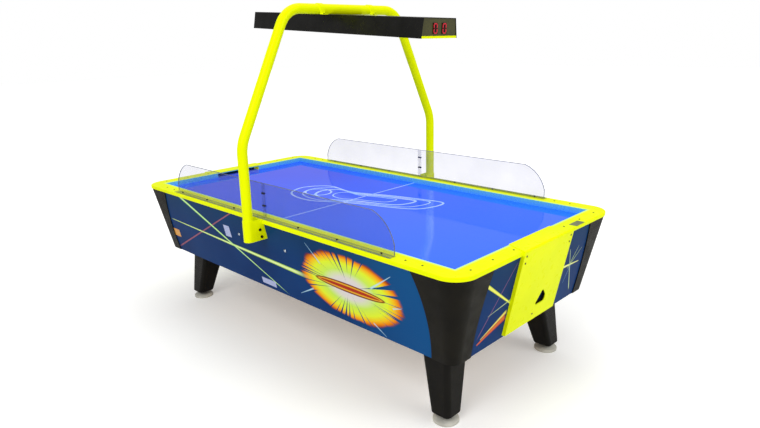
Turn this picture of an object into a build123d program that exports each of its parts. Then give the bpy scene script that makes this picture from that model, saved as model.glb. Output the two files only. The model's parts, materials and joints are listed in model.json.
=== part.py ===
"""Eight-foot arcade air hockey table with an overhead score canopy.

Millimetres, +Z up. The origin is on the floor under the middle of the table, +X runs along the
table towards the right-hand goal, and -Y is the near long side.
"""
import os
from math import hypot

from build123d import *

os.makedirs("parts", exist_ok=True)

# ---------------------------------------------------------------- driving dimensions
# table top
table_length = 2529.0
table_width = 1295.0
rail_height = 787.0
rail_width = 96.0
rail_joint_margin = 9.0
rail_cap_thickness = 18.0
rail_overhang = 3.5
rail_edge_radius = 4.0
table_corner_radius = 105.0
rim_height = 30.0
playfield_thickness = 12.0
bumper_thickness = 4.0
bumper_drop = 1.0

# cabinet
cabinet_bottom = 360.0
cabinet_taper = 85.0
bottom_corner_radius = 50.0
shell_thickness = 5.0
panel_thickness = 18.0
floor_thickness = 18.0
side_shell_edge = (118.0, 144.9, 246.0)
end_shell_edge = (115.0, 148.9, 231.0)
shell_edge_rise = 180.0

# plenum and blower
plenum_depth = 60.0
plenum_board_thickness = 9.0
plenum_end_gap = 152.0
plenum_side_gap = 16.0
batten_width = 18.0
cross_batten_places = (-540.0, 0.0, 540.0)
blower_place = (-270.0, 0.0)
blower_radius = 115.0
blower_height = 96.0
blower_wall = 3.0
blower_flange = 25.0
intake_radius = 68.0
impeller_radius = 84.0
impeller_height = 56.0
impeller_plate = 3.0
blade_count = 12
blade_length = 30.0
motor_radius = 45.0
motor_height = 80.0
motor_shaft_radius = 5.0
vent_slot = (180.0, 10.0)
vent_count = 8
vent_pitch = 20.0

# goals
goal_width = 340.0
goal_height = 25.0
chute_wall = 2.0
chute_top_depth = 28.0
chute_bottom_depth = 78.0
chute_bottom_rise = 85.0
chute_bottom_width = 124.0
return_outline = ((-2.0, 95.0), (90.0, 95.0), (90.0, 128.0), (50.0, 172.0))
return_corner_radius = 12.0
goal_cover_width = 424.0
goal_cover_tongue = 344.0
goal_cover_thickness = 3.0
goal_cover_standoff = 17.0
goal_cover_reach = 95.0
goal_cover_bend = 9.0
goal_cover_lift = 14.0
goal_cover_fit = 1.0
goal_rim_gap = 1.7
cover_screw_inset = 20.0
cover_screw_drops = (6.0, 40.0)
cover_screw_lift = 52.0

# legs and levellers
leg_inset = (187.0, 175.0)
leg_splay = 55.0
leg_top_width = 160.0
leg_bottom_width = 105.0
leg_corner_radius = 25.0
leg_bottom = 40.0
leg_foot_round = 9.0
leg_block_width = 150.0
leg_block_height = 60.0
leg_bolt_radius = 5.0
leg_bolt_spacing = 90.0
leg_bolt_depth = 50.0
leveller_radius = 60.0
leveller_height = 23.0
leveller_stem_radius = 8.0
leveller_stem_length = 45.0
leveller_rise = 8.0
leveller_lip = 3.0
leveller_foot_bevel = 2.0
leveller_collar = 6.0
leveller_crown = (0.62, 0.25)
leveller_screw_room = 5.0

# arch that carries the canopy
arch_tube_radius = 25.4
arch_tube_wall = 3.0
arch_standoff = 63.5
arch_foot_drop = 102.0
arch_shoulder_rise = 382.0
arch_rise = 1022.0
arch_lean = 318.5
arch_shoulder_bend = 200.0
arch_top_bend = 140.0
bracket_plate = 3.0
bracket_lip = 8.0
bracket_screw_offsets = ((16.5, 46.0), (8.5, 84.0))
bracket_screw_radius = 4.0

# canopy
canopy_length = 1310.0
canopy_width = 266.0
canopy_top_width = 238.0
canopy_height = 92.0
canopy_sheet = 2.0
canopy_tilt = 3.75
canopy_hang = 0.6
display_thickness = 6.0
display_inset = 3.0
lens_thickness = 3.0
lamp_radius = 13.0
lamp_end_gap = 65.0
lamp_spacing = 110.0
lamp_level = 0.4
digit_size = (30.0, 50.0)
digit_spacing = 66.0
digit_depth = 4.0
saddle_places = (-180.0, 180.0)
saddle_width = 32.0
saddle_thickness = 3.0
saddle_foot = 24.0
saddle_screw_share = 0.62
controller_size = (160.0, 120.0, 24.0)

# shields on the long sides
shield_thickness = 4.0
shield_end_gap = 364.5
shield_end_slant = 128.0
shield_shoulder = 50.0
shield_rise = 180.0
shield_offset = 44.5
shield_foot = 32.0
shield_gap = 3.0
shield_bend = 5.0
splice_width = 26.0
splice_bolt_levels = (63.0, 128.0)

# fasteners
button_head = (5.5, 3.3)
button_shank_radius = 3.0
button_count = 3
button_end_gap = 66.0
button_offset = 11.0
button_depth = 11.5
rail_screw_head = (4.5, 1.6)
rail_screw_shank_radius = 2.0
rail_screw_depth = 20.0
screw_line = 43.0
end_screw_gaps = (431.5, 276.5, 126.5)
side_screw_gaps = (304.5, 214.5)

# power inlet
inlet_size = (62.0, 34.0)
inlet_depth = 40.0
inlet_plate = 3.0
inlet_side_gap = 199.5
inlet_rise = 80.0
rocker_radius = 8.0
rocker_width = 13.0
rocker_axis_depth = 3.5
rocker_offset = 17.0
rocker_throw = 14.0
rocker_flat = 7.0

# clearances
running_clearance = 0.05
hole_clearance = 0.2
fit_clearance = 0.5
part_gap = 0.3

# ---------------------------------------------------------------- derived values
half_length = table_length / 2
half_width = table_width / 2
cabinet_top = rail_height - rail_cap_thickness
playfield_level = rail_height - rim_height
play_half_length = half_length - rail_width
play_half_width = half_width - rail_width
bumper_top = rail_height - bumper_drop
plenum_top = playfield_level - playfield_thickness
plenum_bottom = plenum_top - plenum_depth
board_bottom = plenum_bottom - plenum_board_thickness
wall_inset = shell_thickness + panel_thickness
slope = cabinet_taper / (cabinet_top - cabinet_bottom)
reach = table_length
shield_line = half_width - shield_offset
shield_half_length = half_length - shield_end_gap
bottom_half_length = half_length - rail_overhang - cabinet_taper
bottom_half_width = half_width - rail_overhang - cabinet_taper
inlet_across = -(goal_cover_width / 2 + half_width - inlet_side_gap) / 2
leg_top_place = (bottom_half_length - leg_inset[0], bottom_half_width - leg_inset[1])
leg_foot_place = (leg_top_place[0] + leg_splay, leg_top_place[1] + leg_splay)
bracket_inner = arch_tube_radius + part_gap
bracket_top = rail_height + bracket_lip
bracket_screw_places = [(-half_width - out, rail_height - drop) for out, drop in bracket_screw_offsets]
arch_half_span = half_width + arch_standoff
arch_foot = rail_height - arch_foot_drop
arch_shoulder = rail_height + arch_shoulder_rise
arch_top = rail_height + arch_rise
arch_top_half_span = arch_half_span - arch_lean
chute_bottom_level = cabinet_bottom + chute_bottom_rise
return_sill = cabinet_bottom + return_outline[0][1]
inlet_level = cabinet_bottom + inlet_rise
ENDS = (("left", -1), ("right", 1))
SIDES = (("near", -1), ("far", 1))


def save(piece, name):
    """Label a finished piece and write it."""
    piece.part.label = name
    export_step(piece.part, f"parts/{name}.step")


def cabinet_outline(level, inset=0.0):
    """Half length, half width and corner radius of the tapered cabinet at a height."""
    rise = (level - cabinet_bottom) * slope
    share = (level - cabinet_bottom) / (cabinet_top - cabinet_bottom)
    radius = bottom_corner_radius + (table_corner_radius - bottom_corner_radius) * share
    return bottom_half_length + rise - inset, bottom_half_width + rise - inset, radius - inset


def cabinet_block(inset):
    """The cabinet's whole tapered volume, a given distance inside its outer skin."""
    with BuildPart() as block:
        for level in (cabinet_bottom, cabinet_top):
            length, width, radius = cabinet_outline(level, inset)
            with BuildSketch(Plane.XY.offset(level)):
                RectangleRounded(2 * length, 2 * width, radius)
        loft(ruled=True)
    return block.part


def end_plane(end, level, inset=shell_thickness):
    """Plane on an end panel's face: local x across the table, local y up the slope."""
    face = cabinet_outline(level, inset)[0]
    return Plane(
        origin=(end * face, 0, level), x_dir=(0, end, 0), z_dir=(end, 0, -slope)
    )


def return_points():
    """The return pocket's outline in an end plane set at the pocket's lowest level."""
    base = return_outline[0][1]
    stretch = hypot(1, slope)
    return [(across, (level - base) * stretch) for across, level in return_outline]


def shell_edge(axis, gaps):
    """The edge of a corner shell at three heights, from its distances to the cabinet's end or side."""
    levels = (cabinet_bottom, cabinet_bottom + shell_edge_rise, cabinet_top)
    return [(cabinet_outline(level)[axis] - gap, level) for level, gap in zip(levels, gaps)]


# ---------------------------------------------------------------- cabinet
outer_block = cabinet_block(0)
inner_block = cabinet_block(shell_thickness)

for end_name, end in ENDS:
    for side_name, side in SIDES:
        with BuildPart() as corner_shell:
            add(outer_block)
            add(inner_block, mode=Mode.SUBTRACT)
            for plane, direction, edge in (
                (Plane.XZ, end, shell_edge(0, side_shell_edge)),
                (Plane.YZ, side, shell_edge(1, end_shell_edge)),
            ):
                with BuildSketch(plane):
                    with BuildLine():
                        boundary = ThreePointArc(*[(direction * out, level) for out, level in edge])
                        Polyline(
                            boundary @ 1,
                            (direction * reach, cabinet_top),
                            (direction * reach, cabinet_bottom),
                            boundary @ 0,
                        )
                    make_face()
                extrude(amount=reach, both=True, mode=Mode.INTERSECT)
        save(corner_shell, f"corner_shell_{side_name}_{end_name}")

for side_name, side in SIDES:
    with BuildPart() as side_panel:
        for level in (cabinet_bottom, cabinet_top):
            length, width, radius = cabinet_outline(level, shell_thickness)
            with BuildSketch(Plane.XY.offset(level)):
                with Locations((0, side * (width - panel_thickness / 2))):
                    Rectangle(2 * (length - radius), panel_thickness)
        loft(ruled=True)
    save(side_panel, f"side_panel_{side_name}")

for end_name, end in ENDS:
    with BuildPart() as end_panel:
        for level in (cabinet_bottom, cabinet_top):
            length, width, radius = cabinet_outline(level, shell_thickness)
            with BuildSketch(Plane.XY.offset(level)):
                with Locations((end * (length - panel_thickness / 2), 0)):
                    Rectangle(panel_thickness, 2 * (width - radius))
        loft(ruled=True)
        with BuildSketch(end_plane(end, return_sill)) as mouth:
            with BuildLine():
                Polyline(*return_points(), close=True)
            make_face()
            fillet(mouth.vertices(), return_corner_radius)
        extrude(amount=2 * panel_thickness, both=True, mode=Mode.SUBTRACT)
        if end < 0:
            with BuildSketch(end_plane(end, inlet_level)):
                with Locations((inlet_across, 0)):
                    Rectangle(
                        inlet_size[0] - 8 + 2 * fit_clearance,
                        inlet_size[1] - 8 + 2 * fit_clearance,
                    )
            extrude(amount=2 * panel_thickness, both=True, mode=Mode.SUBTRACT)
    save(end_panel, f"end_panel_{end_name}")

floor_length, floor_width, floor_radius = cabinet_outline(cabinet_bottom, wall_inset)
bolt_grid = [
    (end * leg_top_place[0] + dx, side * leg_top_place[1] + dy)
    for _, end in ENDS
    for _, side in SIDES
    for dx in (-leg_bolt_spacing / 2, leg_bolt_spacing / 2)
    for dy in (-leg_bolt_spacing / 2, leg_bolt_spacing / 2)
]
with BuildPart() as cabinet_floor:
    with BuildSketch(Plane.XY.offset(cabinet_bottom)):
        RectangleRounded(2 * floor_length, 2 * floor_width, floor_radius)
        with Locations(blower_place):
            with GridLocations(0, vent_pitch, 1, vent_count):
                SlotOverall(*vent_slot, mode=Mode.SUBTRACT)
        with Locations(*bolt_grid):
            Circle(leg_bolt_radius + hole_clearance, mode=Mode.SUBTRACT)
    extrude(amount=floor_thickness)
save(cabinet_floor, "cabinet_floor")

# ---------------------------------------------------------------- playfield and plenum
chute_outer = cabinet_outline(plenum_top, wall_inset)[0] - fit_clearance
field_length, field_width, field_radius = cabinet_outline(plenum_top, wall_inset)
notch_inner = chute_outer - chute_top_depth + chute_wall
with BuildPart() as playfield:
    with BuildSketch(Plane.XY.offset(plenum_top)):
        RectangleRounded(
            2 * (field_length - part_gap), 2 * (field_width - part_gap), field_radius
        )
        for _, end in ENDS:
            with Locations((end * (notch_inner + field_length) / 2, 0)):
                Rectangle(field_length - notch_inner, goal_width, mode=Mode.SUBTRACT)
    extrude(amount=playfield_thickness)
save(playfield, "playfield")

plenum_half_length = chute_outer - plenum_end_gap
plenum_half_width = cabinet_outline(board_bottom, wall_inset)[1] - plenum_side_gap

with BuildPart() as plenum_ribs:
    with BuildSketch(Plane.XY.offset(plenum_bottom)):
        for side in (-1, 1):
            with Locations((0, side * (plenum_half_width - batten_width / 2))):
                Rectangle(2 * plenum_half_length, batten_width)
        for place in (-plenum_half_length + batten_width / 2, *cross_batten_places,
                      plenum_half_length - batten_width / 2):
            with Locations((place, 0)):
                Rectangle(batten_width, 2 * (plenum_half_width - batten_width) - 2 * fit_clearance)
    extrude(amount=plenum_depth)
save(plenum_ribs, "plenum_ribs")

with BuildPart() as plenum_board:
    with BuildSketch(Plane.XY.offset(board_bottom)):
        Rectangle(2 * plenum_half_length, 2 * plenum_half_width)
        with Locations(blower_place):
            Circle(blower_radius - blower_wall, mode=Mode.SUBTRACT)
    extrude(amount=plenum_board_thickness)
save(plenum_board, "plenum_board")

blower_bottom = board_bottom - blower_height
blower_axis = Plane(origin=(*blower_place, 0))
with BuildPart() as blower_housing:
    with BuildSketch(blower_axis.offset(blower_bottom)):
        Circle(blower_radius)
    extrude(amount=blower_height)
    with BuildSketch(blower_axis.offset(blower_bottom + blower_wall)):
        Circle(blower_radius - blower_wall)
    extrude(amount=blower_height, mode=Mode.SUBTRACT)
    with BuildSketch(blower_axis.offset(blower_bottom)):
        Circle(intake_radius)
        Circle(motor_radius, mode=Mode.SUBTRACT)
        with PolarLocations(0, 3):
            with Locations((intake_radius, 0)):
                Rectangle(2 * intake_radius, 2 * motor_shaft_radius + 10, mode=Mode.SUBTRACT)
    extrude(amount=blower_wall, mode=Mode.SUBTRACT)
    with BuildSketch(blower_axis.offset(blower_bottom)):
        Circle(2 * motor_shaft_radius)
    extrude(amount=blower_wall, mode=Mode.SUBTRACT)
    with BuildSketch(blower_axis.offset(board_bottom - blower_wall)):
        Circle(blower_radius + blower_flange)
        Circle(blower_radius - blower_wall, mode=Mode.SUBTRACT)
    extrude(amount=blower_wall)
save(blower_housing, "blower_housing")

impeller_bottom = blower_bottom + blower_wall + 12
with BuildPart() as blower_motor:
    with BuildSketch(blower_axis.offset(blower_bottom - motor_height)):
        Circle(motor_radius)
    extrude(amount=motor_height)
    fillet(blower_motor.edges().group_by(Axis.Z)[0], 6)
    with BuildSketch(blower_axis.offset(blower_bottom - 40)):
        Circle(motor_shaft_radius + running_clearance)
    extrude(amount=40, mode=Mode.SUBTRACT)
save(blower_motor, "blower_motor")

with BuildPart() as blower_impeller:
    with BuildSketch(blower_axis.offset(impeller_bottom)):
        Circle(impeller_radius)
    extrude(amount=impeller_plate)
    with BuildSketch(blower_axis.offset(impeller_bottom + impeller_plate)):
        with PolarLocations(impeller_radius - blade_length / 2 - 1, blade_count):
            Rectangle(blade_length, 2.0, rotation=35)
    extrude(amount=impeller_height)
    with BuildSketch(blower_axis.offset(impeller_bottom + impeller_height)):
        Circle(impeller_radius)
        Circle(impeller_radius - blade_length - 4, mode=Mode.SUBTRACT)
    extrude(amount=impeller_plate)
    with BuildSketch(blower_axis.offset(impeller_bottom)):
        Circle(3 * motor_shaft_radius)
    extrude(amount=30)
    with BuildSketch(blower_axis.offset(blower_bottom - 35)):
        Circle(motor_shaft_radius)
    extrude(amount=50)
save(blower_impeller, "blower_impeller")

# ---------------------------------------------------------------- rails and bumpers
core_length, core_width, core_radius = cabinet_outline(playfield_level, wall_inset)
core_length -= part_gap
core_width -= part_gap
rail_inner_length = play_half_length + bumper_thickness
rail_inner_width = play_half_width + bumper_thickness
straight_length = half_length - max(table_corner_radius, rail_width + rail_joint_margin)
button_line = shield_line + button_offset
button_pitch = (shield_half_length - button_end_gap) / button_count
rail_buttons = [
    (end * button_pitch * (k + 1), button_line) for _, end in ENDS for k in range(button_count)
]
side_screws = [
    (end * (half_length - gap), half_width - screw_line) for _, end in ENDS for gap in side_screw_gaps
]
end_screws = [
    (half_length - screw_line, side * (half_width - gap)) for _, side in SIDES for gap in end_screw_gaps
]

for side_name, side in SIDES:
    with BuildPart() as side_rail:
        with BuildSketch(Plane.YZ) as profile:
            with BuildLine():
                Polyline(
                    (side * half_width, rail_height),
                    (side * half_width, cabinet_top),
                    (side * core_width, cabinet_top),
                    (side * core_width, playfield_level),
                    (side * rail_inner_width, playfield_level),
                    (side * rail_inner_width, rail_height),
                    close=True,
                )
            make_face()
            outer_top = profile.vertices().sort_by(Axis.Y)[-2:].sort_by(Axis.X)[::side][-1]
            fillet(outer_top, rail_edge_radius)
        extrude(amount=straight_length, both=True)
        with Locations(*[(x, side * y, rail_height) for x, y in rail_buttons]):
            Hole(button_shank_radius + hole_clearance, depth=button_depth)
        with Locations(*[(x, side * y, rail_height) for x, y in side_screws]):
            Hole(rail_screw_shank_radius + hole_clearance, depth=rail_screw_depth)
    save(side_rail, f"side_rail_{side_name}")

for end_name, end in ENDS:
    with BuildPart() as end_rail:
        with BuildSketch(Plane.XY.offset(cabinet_top)):
            RectangleRounded(table_length, table_width, table_corner_radius)
        extrude(amount=rail_cap_thickness)
        with BuildSketch(Plane.XY.offset(playfield_level)):
            RectangleRounded(2 * core_length, 2 * core_width, core_radius)
        extrude(amount=cabinet_top - playfield_level)
        with BuildSketch(Plane.XY.offset(playfield_level)):
            Rectangle(2 * rail_inner_length, 2 * rail_inner_width)
        extrude(amount=rim_height, mode=Mode.SUBTRACT)
        with BuildSketch(Plane.XY.offset(playfield_level)):
            with Locations((end * (straight_length + reach / 2), 0)):
                Rectangle(reach, reach)
        extrude(amount=rim_height, mode=Mode.INTERSECT)
        with BuildSketch(Plane.XY.offset(playfield_level)):
            with Locations((end * (rail_inner_length + core_length) / 2, 0)):
                Rectangle(core_length - rail_inner_length + 2, goal_width)
        extrude(amount=goal_height, mode=Mode.SUBTRACT)
        top_edges = end_rail.edges().filter_by_position(Axis.Z, rail_height - 0.1, rail_height + 0.1)
        outer_edges = [
            edge
            for edge in top_edges
            if edge.geom_type == GeomType.CIRCLE
            or abs(edge.center().X) > half_length - 1
            or abs(edge.center().Y) > half_width - 1
        ]
        fillet(outer_edges, rail_edge_radius)
        with Locations(*[(end * x, y, rail_height) for x, y in end_screws]):
            Hole(rail_screw_shank_radius + hole_clearance, depth=rail_screw_depth)
    save(end_rail, f"end_rail_{end_name}")

for side_name, side in SIDES:
    with BuildPart() as side_bumper:
        with BuildSketch(Plane.XY.offset(playfield_level)):
            with Locations((0, side * (play_half_width + bumper_thickness / 2))):
                Rectangle(2 * rail_inner_length, bumper_thickness)
        extrude(amount=bumper_top - playfield_level)
    save(side_bumper, f"side_bumper_{side_name}")

for end_name, end in ENDS:
    with BuildPart() as end_bumper:
        with BuildSketch(Plane.XY.offset(playfield_level)):
            with Locations((end * (play_half_length + bumper_thickness / 2), 0)):
                Rectangle(bumper_thickness, 2 * play_half_width)
        extrude(amount=bumper_top - playfield_level)
        with BuildSketch(Plane.XY.offset(playfield_level)):
            with Locations((end * (play_half_length + bumper_thickness / 2), 0)):
                Rectangle(2 * bumper_thickness, goal_width)
        extrude(amount=goal_height, mode=Mode.SUBTRACT)
    save(end_bumper, f"end_bumper_{end_name}")

# ---------------------------------------------------------------- goals
return_centre = sum(across for across, _ in return_outline[:2]) / 2
chute_foot_outer = cabinet_outline(chute_bottom_level, wall_inset)[0] - fit_clearance
chute_sections = (
    (chute_bottom_level, chute_foot_outer, chute_bottom_depth, return_centre, chute_bottom_width),
    (plenum_top, chute_outer, chute_top_depth, 0.0, goal_width + 2 * chute_wall),
)


def chute_block(end, wall):
    """The goal chute's tapering volume, with its walls taken off where wall is not 0."""
    with BuildPart() as block:
        for level, outer, depth, centre, width in chute_sections:
            lift = wall if level == chute_bottom_level else 0.0
            with BuildSketch(Plane.XY.offset(level + lift)):
                with Locations((end * (outer - depth / 2), end * centre)):
                    Rectangle(depth - 2 * wall, width - 2 * wall)
        loft(ruled=True)
    return block.part


for end_name, end in ENDS:
    chute_outside = chute_block(end, 0)
    chute_inside = chute_block(end, chute_wall)
    with BuildPart() as goal_chute:
        add(chute_outside)
        add(chute_inside, mode=Mode.SUBTRACT)
        with BuildSketch(end_plane(end, return_sill, wall_inset)) as mouth:
            with BuildLine():
                Polyline(*return_points(), close=True)
            make_face()
            fillet(mouth.vertices(), return_corner_radius)
        extrude(amount=2 * chute_wall + 4, both=True, mode=Mode.SUBTRACT)
    save(goal_chute, f"goal_chute_{end_name}")

cover_face_top = cabinet_outline(cabinet_top)[0] - shell_thickness + goal_cover_standoff
cover_foot = cabinet_bottom + goal_cover_lift
cover_fall = (cabinet_top - cover_foot) * slope
cover_face_bottom = cover_face_top - cover_fall
cover_top = rail_height + goal_cover_thickness
cover_crest = cover_face_top + (cover_top - cabinet_top) * slope
cover_screws = [
    (side * (goal_cover_width / 2 - cover_screw_inset), -level)
    for _, side in SIDES
    for level in cover_screw_drops
] + [(0.0, cover_screw_lift - (cabinet_top - cabinet_bottom) * hypot(1, slope))]
tongue_edge = (
    (cover_crest - goal_cover_bend, goal_cover_width / 2),
    (half_length - goal_cover_reach, goal_cover_tongue / 2),
)
for end_name, end in ENDS:
    panel_top = cabinet_outline(cabinet_top, shell_thickness)[0]
    with BuildPart() as goal_cover:
        with BuildSketch(Plane.XZ) as outer_profile:
            with BuildLine():
                Polyline(
                    (end * (half_length - goal_cover_reach), rail_height),
                    (end * (half_length - goal_cover_reach), cover_top),
                    (end * cover_crest, cover_top),
                    (end * cover_face_bottom, cover_foot),
                    (end * (panel_top - cover_fall), cover_foot),
                    (end * panel_top, cabinet_top),
                    (end * (half_length + part_gap), cabinet_top),
                    (end * (half_length + part_gap), rail_height),
                    close=True,
                )
            make_face()
            crest = outer_profile.vertices().sort_by(Axis.Y)[-3:].sort_by(Axis.X)[::end][-1]
            fillet(crest, goal_cover_bend)
        extrude(amount=goal_cover_width / 2, both=True)
        with BuildSketch(Plane.XZ) as cavity:
            skin = goal_cover_thickness * hypot(1, slope)
            foot = cover_foot + goal_cover_thickness
            with BuildLine():
                Polyline(
                    (end * (panel_top - goal_cover_fit), cabinet_top - goal_cover_fit / 2),
                    (end * (cover_face_top - skin), cabinet_top - goal_cover_fit / 2),
                    (end * (cover_face_bottom - skin + goal_cover_thickness * slope), foot),
                    (end * (panel_top - cover_fall - goal_cover_fit), foot),
                    close=True,
                )
            make_face()
        extrude(
            amount=goal_cover_width / 2 - goal_cover_thickness, both=True, mode=Mode.SUBTRACT
        )
        with BuildSketch(end_plane(end, return_sill)) as rim:
            with BuildLine():
                Polyline(*return_points(), close=True)
            make_face()
            fillet(rim.vertices(), return_corner_radius)
            offset(amount=goal_cover_thickness)
        extrude(amount=goal_cover_standoff - goal_rim_gap)
        with BuildSketch(end_plane(end, return_sill)) as mouth:
            with BuildLine():
                Polyline(*return_points(), close=True)
            make_face()
            fillet(mouth.vertices(), return_corner_radius)
        extrude(amount=2 * goal_cover_standoff, mode=Mode.SUBTRACT)
        with BuildSketch(end_plane(end, cabinet_top, shell_thickness - goal_cover_standoff)):
            with Locations(*cover_screws):
                Circle(rail_screw_shank_radius + hole_clearance)
        extrude(amount=-2 * goal_cover_thickness, mode=Mode.SUBTRACT)
        with BuildSketch(Plane.XY.offset(rail_height)):
            for side in (-1, 1):
                with BuildLine():
                    Polyline(
                        *[(end * x, side * y) for x, y in tongue_edge],
                        (end * tongue_edge[1][0], side * goal_cover_width / 2),
                        close=True,
                    )
                make_face()
        extrude(amount=goal_cover_thickness, mode=Mode.SUBTRACT)
    save(goal_cover, f"goal_cover_{end_name}")

# ---------------------------------------------------------------- legs and levellers
for end_name, end in ENDS:
    for side_name, side in SIDES:
        foot = (end * leg_foot_place[0], side * leg_foot_place[1])
        with BuildPart() as leg:
            with BuildSketch(Plane.XY.offset(leg_bottom)):
                with Locations(foot):
                    RectangleRounded(leg_bottom_width, leg_bottom_width, leg_corner_radius)
            with BuildSketch(Plane.XY.offset(cabinet_bottom)):
                with Locations((end * leg_top_place[0], side * leg_top_place[1])):
                    RectangleRounded(leg_top_width, leg_top_width, leg_corner_radius)
            loft(ruled=True)
            fillet(leg.edges().group_by(Axis.Z)[0], leg_foot_round)
            with BuildSketch(Plane.XY.offset(cabinet_bottom)):
                with Locations(*[p for p in bolt_grid if p[0] * end > 0 and p[1] * side > 0]):
                    Circle(leg_bolt_radius + hole_clearance)
            extrude(amount=-(leg_bolt_depth + 2), mode=Mode.SUBTRACT)
            with BuildSketch(Plane.XY.offset(leg_bottom)):
                with Locations(foot):
                    Circle(leveller_stem_radius + running_clearance)
            extrude(amount=leveller_stem_length, mode=Mode.SUBTRACT)
        save(leg, f"leg_{side_name}_{end_name}")

        stem_base = leveller_height - leveller_lip
        with BuildPart() as leveller:
            with BuildSketch(Plane.XZ.offset(-foot[1])):
                with BuildLine():
                    crown = ThreePointArc(
                        (foot[0] + leveller_radius - leveller_lip, leveller_height - leveller_rise),
                        (
                            foot[0] + leveller_radius * leveller_crown[0],
                            leveller_height - leveller_rise * leveller_crown[1],
                        ),
                        (foot[0] + leveller_stem_radius + leveller_collar, leveller_height),
                    )
                    Polyline(
                        crown @ 1,
                        (foot[0], leveller_height),
                        (foot[0], 0),
                        (foot[0] + leveller_radius - leveller_foot_bevel, 0),
                        (foot[0] + leveller_radius, leveller_foot_bevel),
                        (foot[0] + leveller_radius, leveller_height - leveller_rise - leveller_lip),
                        crown @ 0,
                    )
                make_face()
            revolve(axis=Axis((foot[0], foot[1], 0), (0, 0, 1)))
            with BuildSketch(Plane.XY.offset(stem_base)):
                with Locations(foot):
                    Circle(leveller_stem_radius)
            extrude(amount=leg_bottom + leveller_stem_length - leveller_screw_room - stem_base)
        save(leveller, f"leveller_{side_name}_{end_name}")

with BuildPart() as leg_blocks:
    with BuildSketch(Plane.XY.offset(cabinet_bottom + floor_thickness)):
        with GridLocations(2 * leg_top_place[0], 2 * leg_top_place[1], 2, 2):
            Rectangle(leg_block_width, leg_block_width)
        with Locations(*bolt_grid):
            Circle(leg_bolt_radius + hole_clearance, mode=Mode.SUBTRACT)
    extrude(amount=leg_block_height)
save(leg_blocks, "leg_blocks")

bolt_seat = cabinet_bottom + floor_thickness + leg_block_height
with BuildPart() as leg_bolts:
    with BuildSketch(Plane.XY.offset(bolt_seat)):
        with Locations(*bolt_grid):
            RegularPolygon(1.85 * leg_bolt_radius, 6)
    extrude(amount=6.5)
    with BuildSketch(Plane.XY.offset(cabinet_bottom - leg_bolt_depth)):
        with Locations(*bolt_grid):
            Circle(leg_bolt_radius)
    extrude(amount=bolt_seat - cabinet_bottom + leg_bolt_depth)
save(leg_bolts, "leg_bolts")

# ---------------------------------------------------------------- arch
arch_path_points = (
    (0, -arch_half_span, arch_foot + bracket_plate),
    (0, -arch_half_span, arch_shoulder),
    (0, -arch_top_half_span, arch_top),
    (0, arch_top_half_span, arch_top),
    (0, arch_half_span, arch_shoulder),
    (0, arch_half_span, arch_foot + bracket_plate),
)
arch_bends = [arch_shoulder_bend, arch_top_bend, arch_top_bend, arch_shoulder_bend]
with BuildPart() as arch_tube:
    with BuildLine():
        FilletPolyline(*arch_path_points, radius=arch_bends)
    with BuildSketch(Plane(origin=arch_path_points[0], z_dir=(0, 0, 1))):
        Circle(arch_tube_radius)
        Circle(arch_tube_radius - arch_tube_wall, mode=Mode.SUBTRACT)
    sweep()
save(arch_tube, "arch_tube")

panel_at_foot = cabinet_outline(arch_foot, shell_thickness)[1]
panel_at_block = cabinet_outline(arch_foot + bracket_plate, shell_thickness)[1]
panel_at_rail = cabinet_outline(cabinet_top, shell_thickness)[1]
for side_name, side in SIDES:
    with BuildPart() as arch_bracket:
        with BuildSketch(Plane.YZ):
            with BuildLine():
                Polyline(
                    (side * panel_at_foot, arch_foot),
                    (side * arch_half_span, arch_foot),
                    (side * arch_half_span, bracket_top),
                    (side * (half_width + fit_clearance), bracket_top),
                    (side * (half_width + fit_clearance), cabinet_top - fit_clearance),
                    (side * panel_at_rail, cabinet_top - fit_clearance),
                    close=True,
                )
            make_face()
        extrude(amount=bracket_inner + bracket_plate, both=True)
        with BuildSketch(Plane.XY.offset(arch_foot)):
            with Locations((0, side * arch_half_span)):
                Circle(bracket_inner + bracket_plate)
        extrude(amount=bracket_top - arch_foot)
        with BuildSketch(Plane.XY.offset(arch_foot + bracket_plate)):
            with Locations((0, side * (arch_half_span - reach / 2))):
                Rectangle(2 * bracket_inner, reach)
            with Locations((0, side * arch_half_span)):
                Circle(bracket_inner)
        extrude(amount=bracket_top, mode=Mode.SUBTRACT)
        for screw_y, screw_z in bracket_screw_places:
            with BuildSketch(Plane.YZ.offset(-2 * bracket_inner)):
                with Locations((-side * screw_y, screw_z)):
                    Circle(bracket_screw_radius + hole_clearance)
            extrude(amount=4 * bracket_inner, mode=Mode.SUBTRACT)
    save(arch_bracket, f"arch_bracket_{side_name}")

block_half = bracket_inner - hole_clearance
with BuildPart() as arch_blocks:
    for _, side in SIDES:
        with BuildSketch(Plane.YZ):
            with BuildLine():
                Polyline(
                    (side * panel_at_block, arch_foot + bracket_plate),
                    (side * (arch_half_span - bracket_inner - 1), arch_foot + bracket_plate),
                    (side * (arch_half_span - bracket_inner - 1), cabinet_top - 1),
                    (side * panel_at_rail, cabinet_top - 1),
                    close=True,
                )
            make_face()
            for screw_y, screw_z in bracket_screw_places:
                with Locations((-side * screw_y, screw_z)):
                    Circle(bracket_screw_radius + hole_clearance, mode=Mode.SUBTRACT)
        extrude(amount=block_half, both=True)
save(arch_blocks, "arch_blocks")

with BuildPart() as bracket_screws:
    for _, side in SIDES:
        for screw_y, screw_z in bracket_screw_places:
            for face in (-1, 1):
                face_plane = Plane.YZ.offset(face * (bracket_inner + bracket_plate))
                with BuildSketch(face_plane):
                    with Locations((-side * screw_y, screw_z)):
                        Circle(1.8 * bracket_screw_radius)
                extrude(amount=face * 4)
                with BuildSketch(face_plane):
                    with Locations((-side * screw_y, screw_z)):
                        Circle(bracket_screw_radius)
                extrude(amount=-face * 18)
save(bracket_screws, "bracket_screws")

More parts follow.
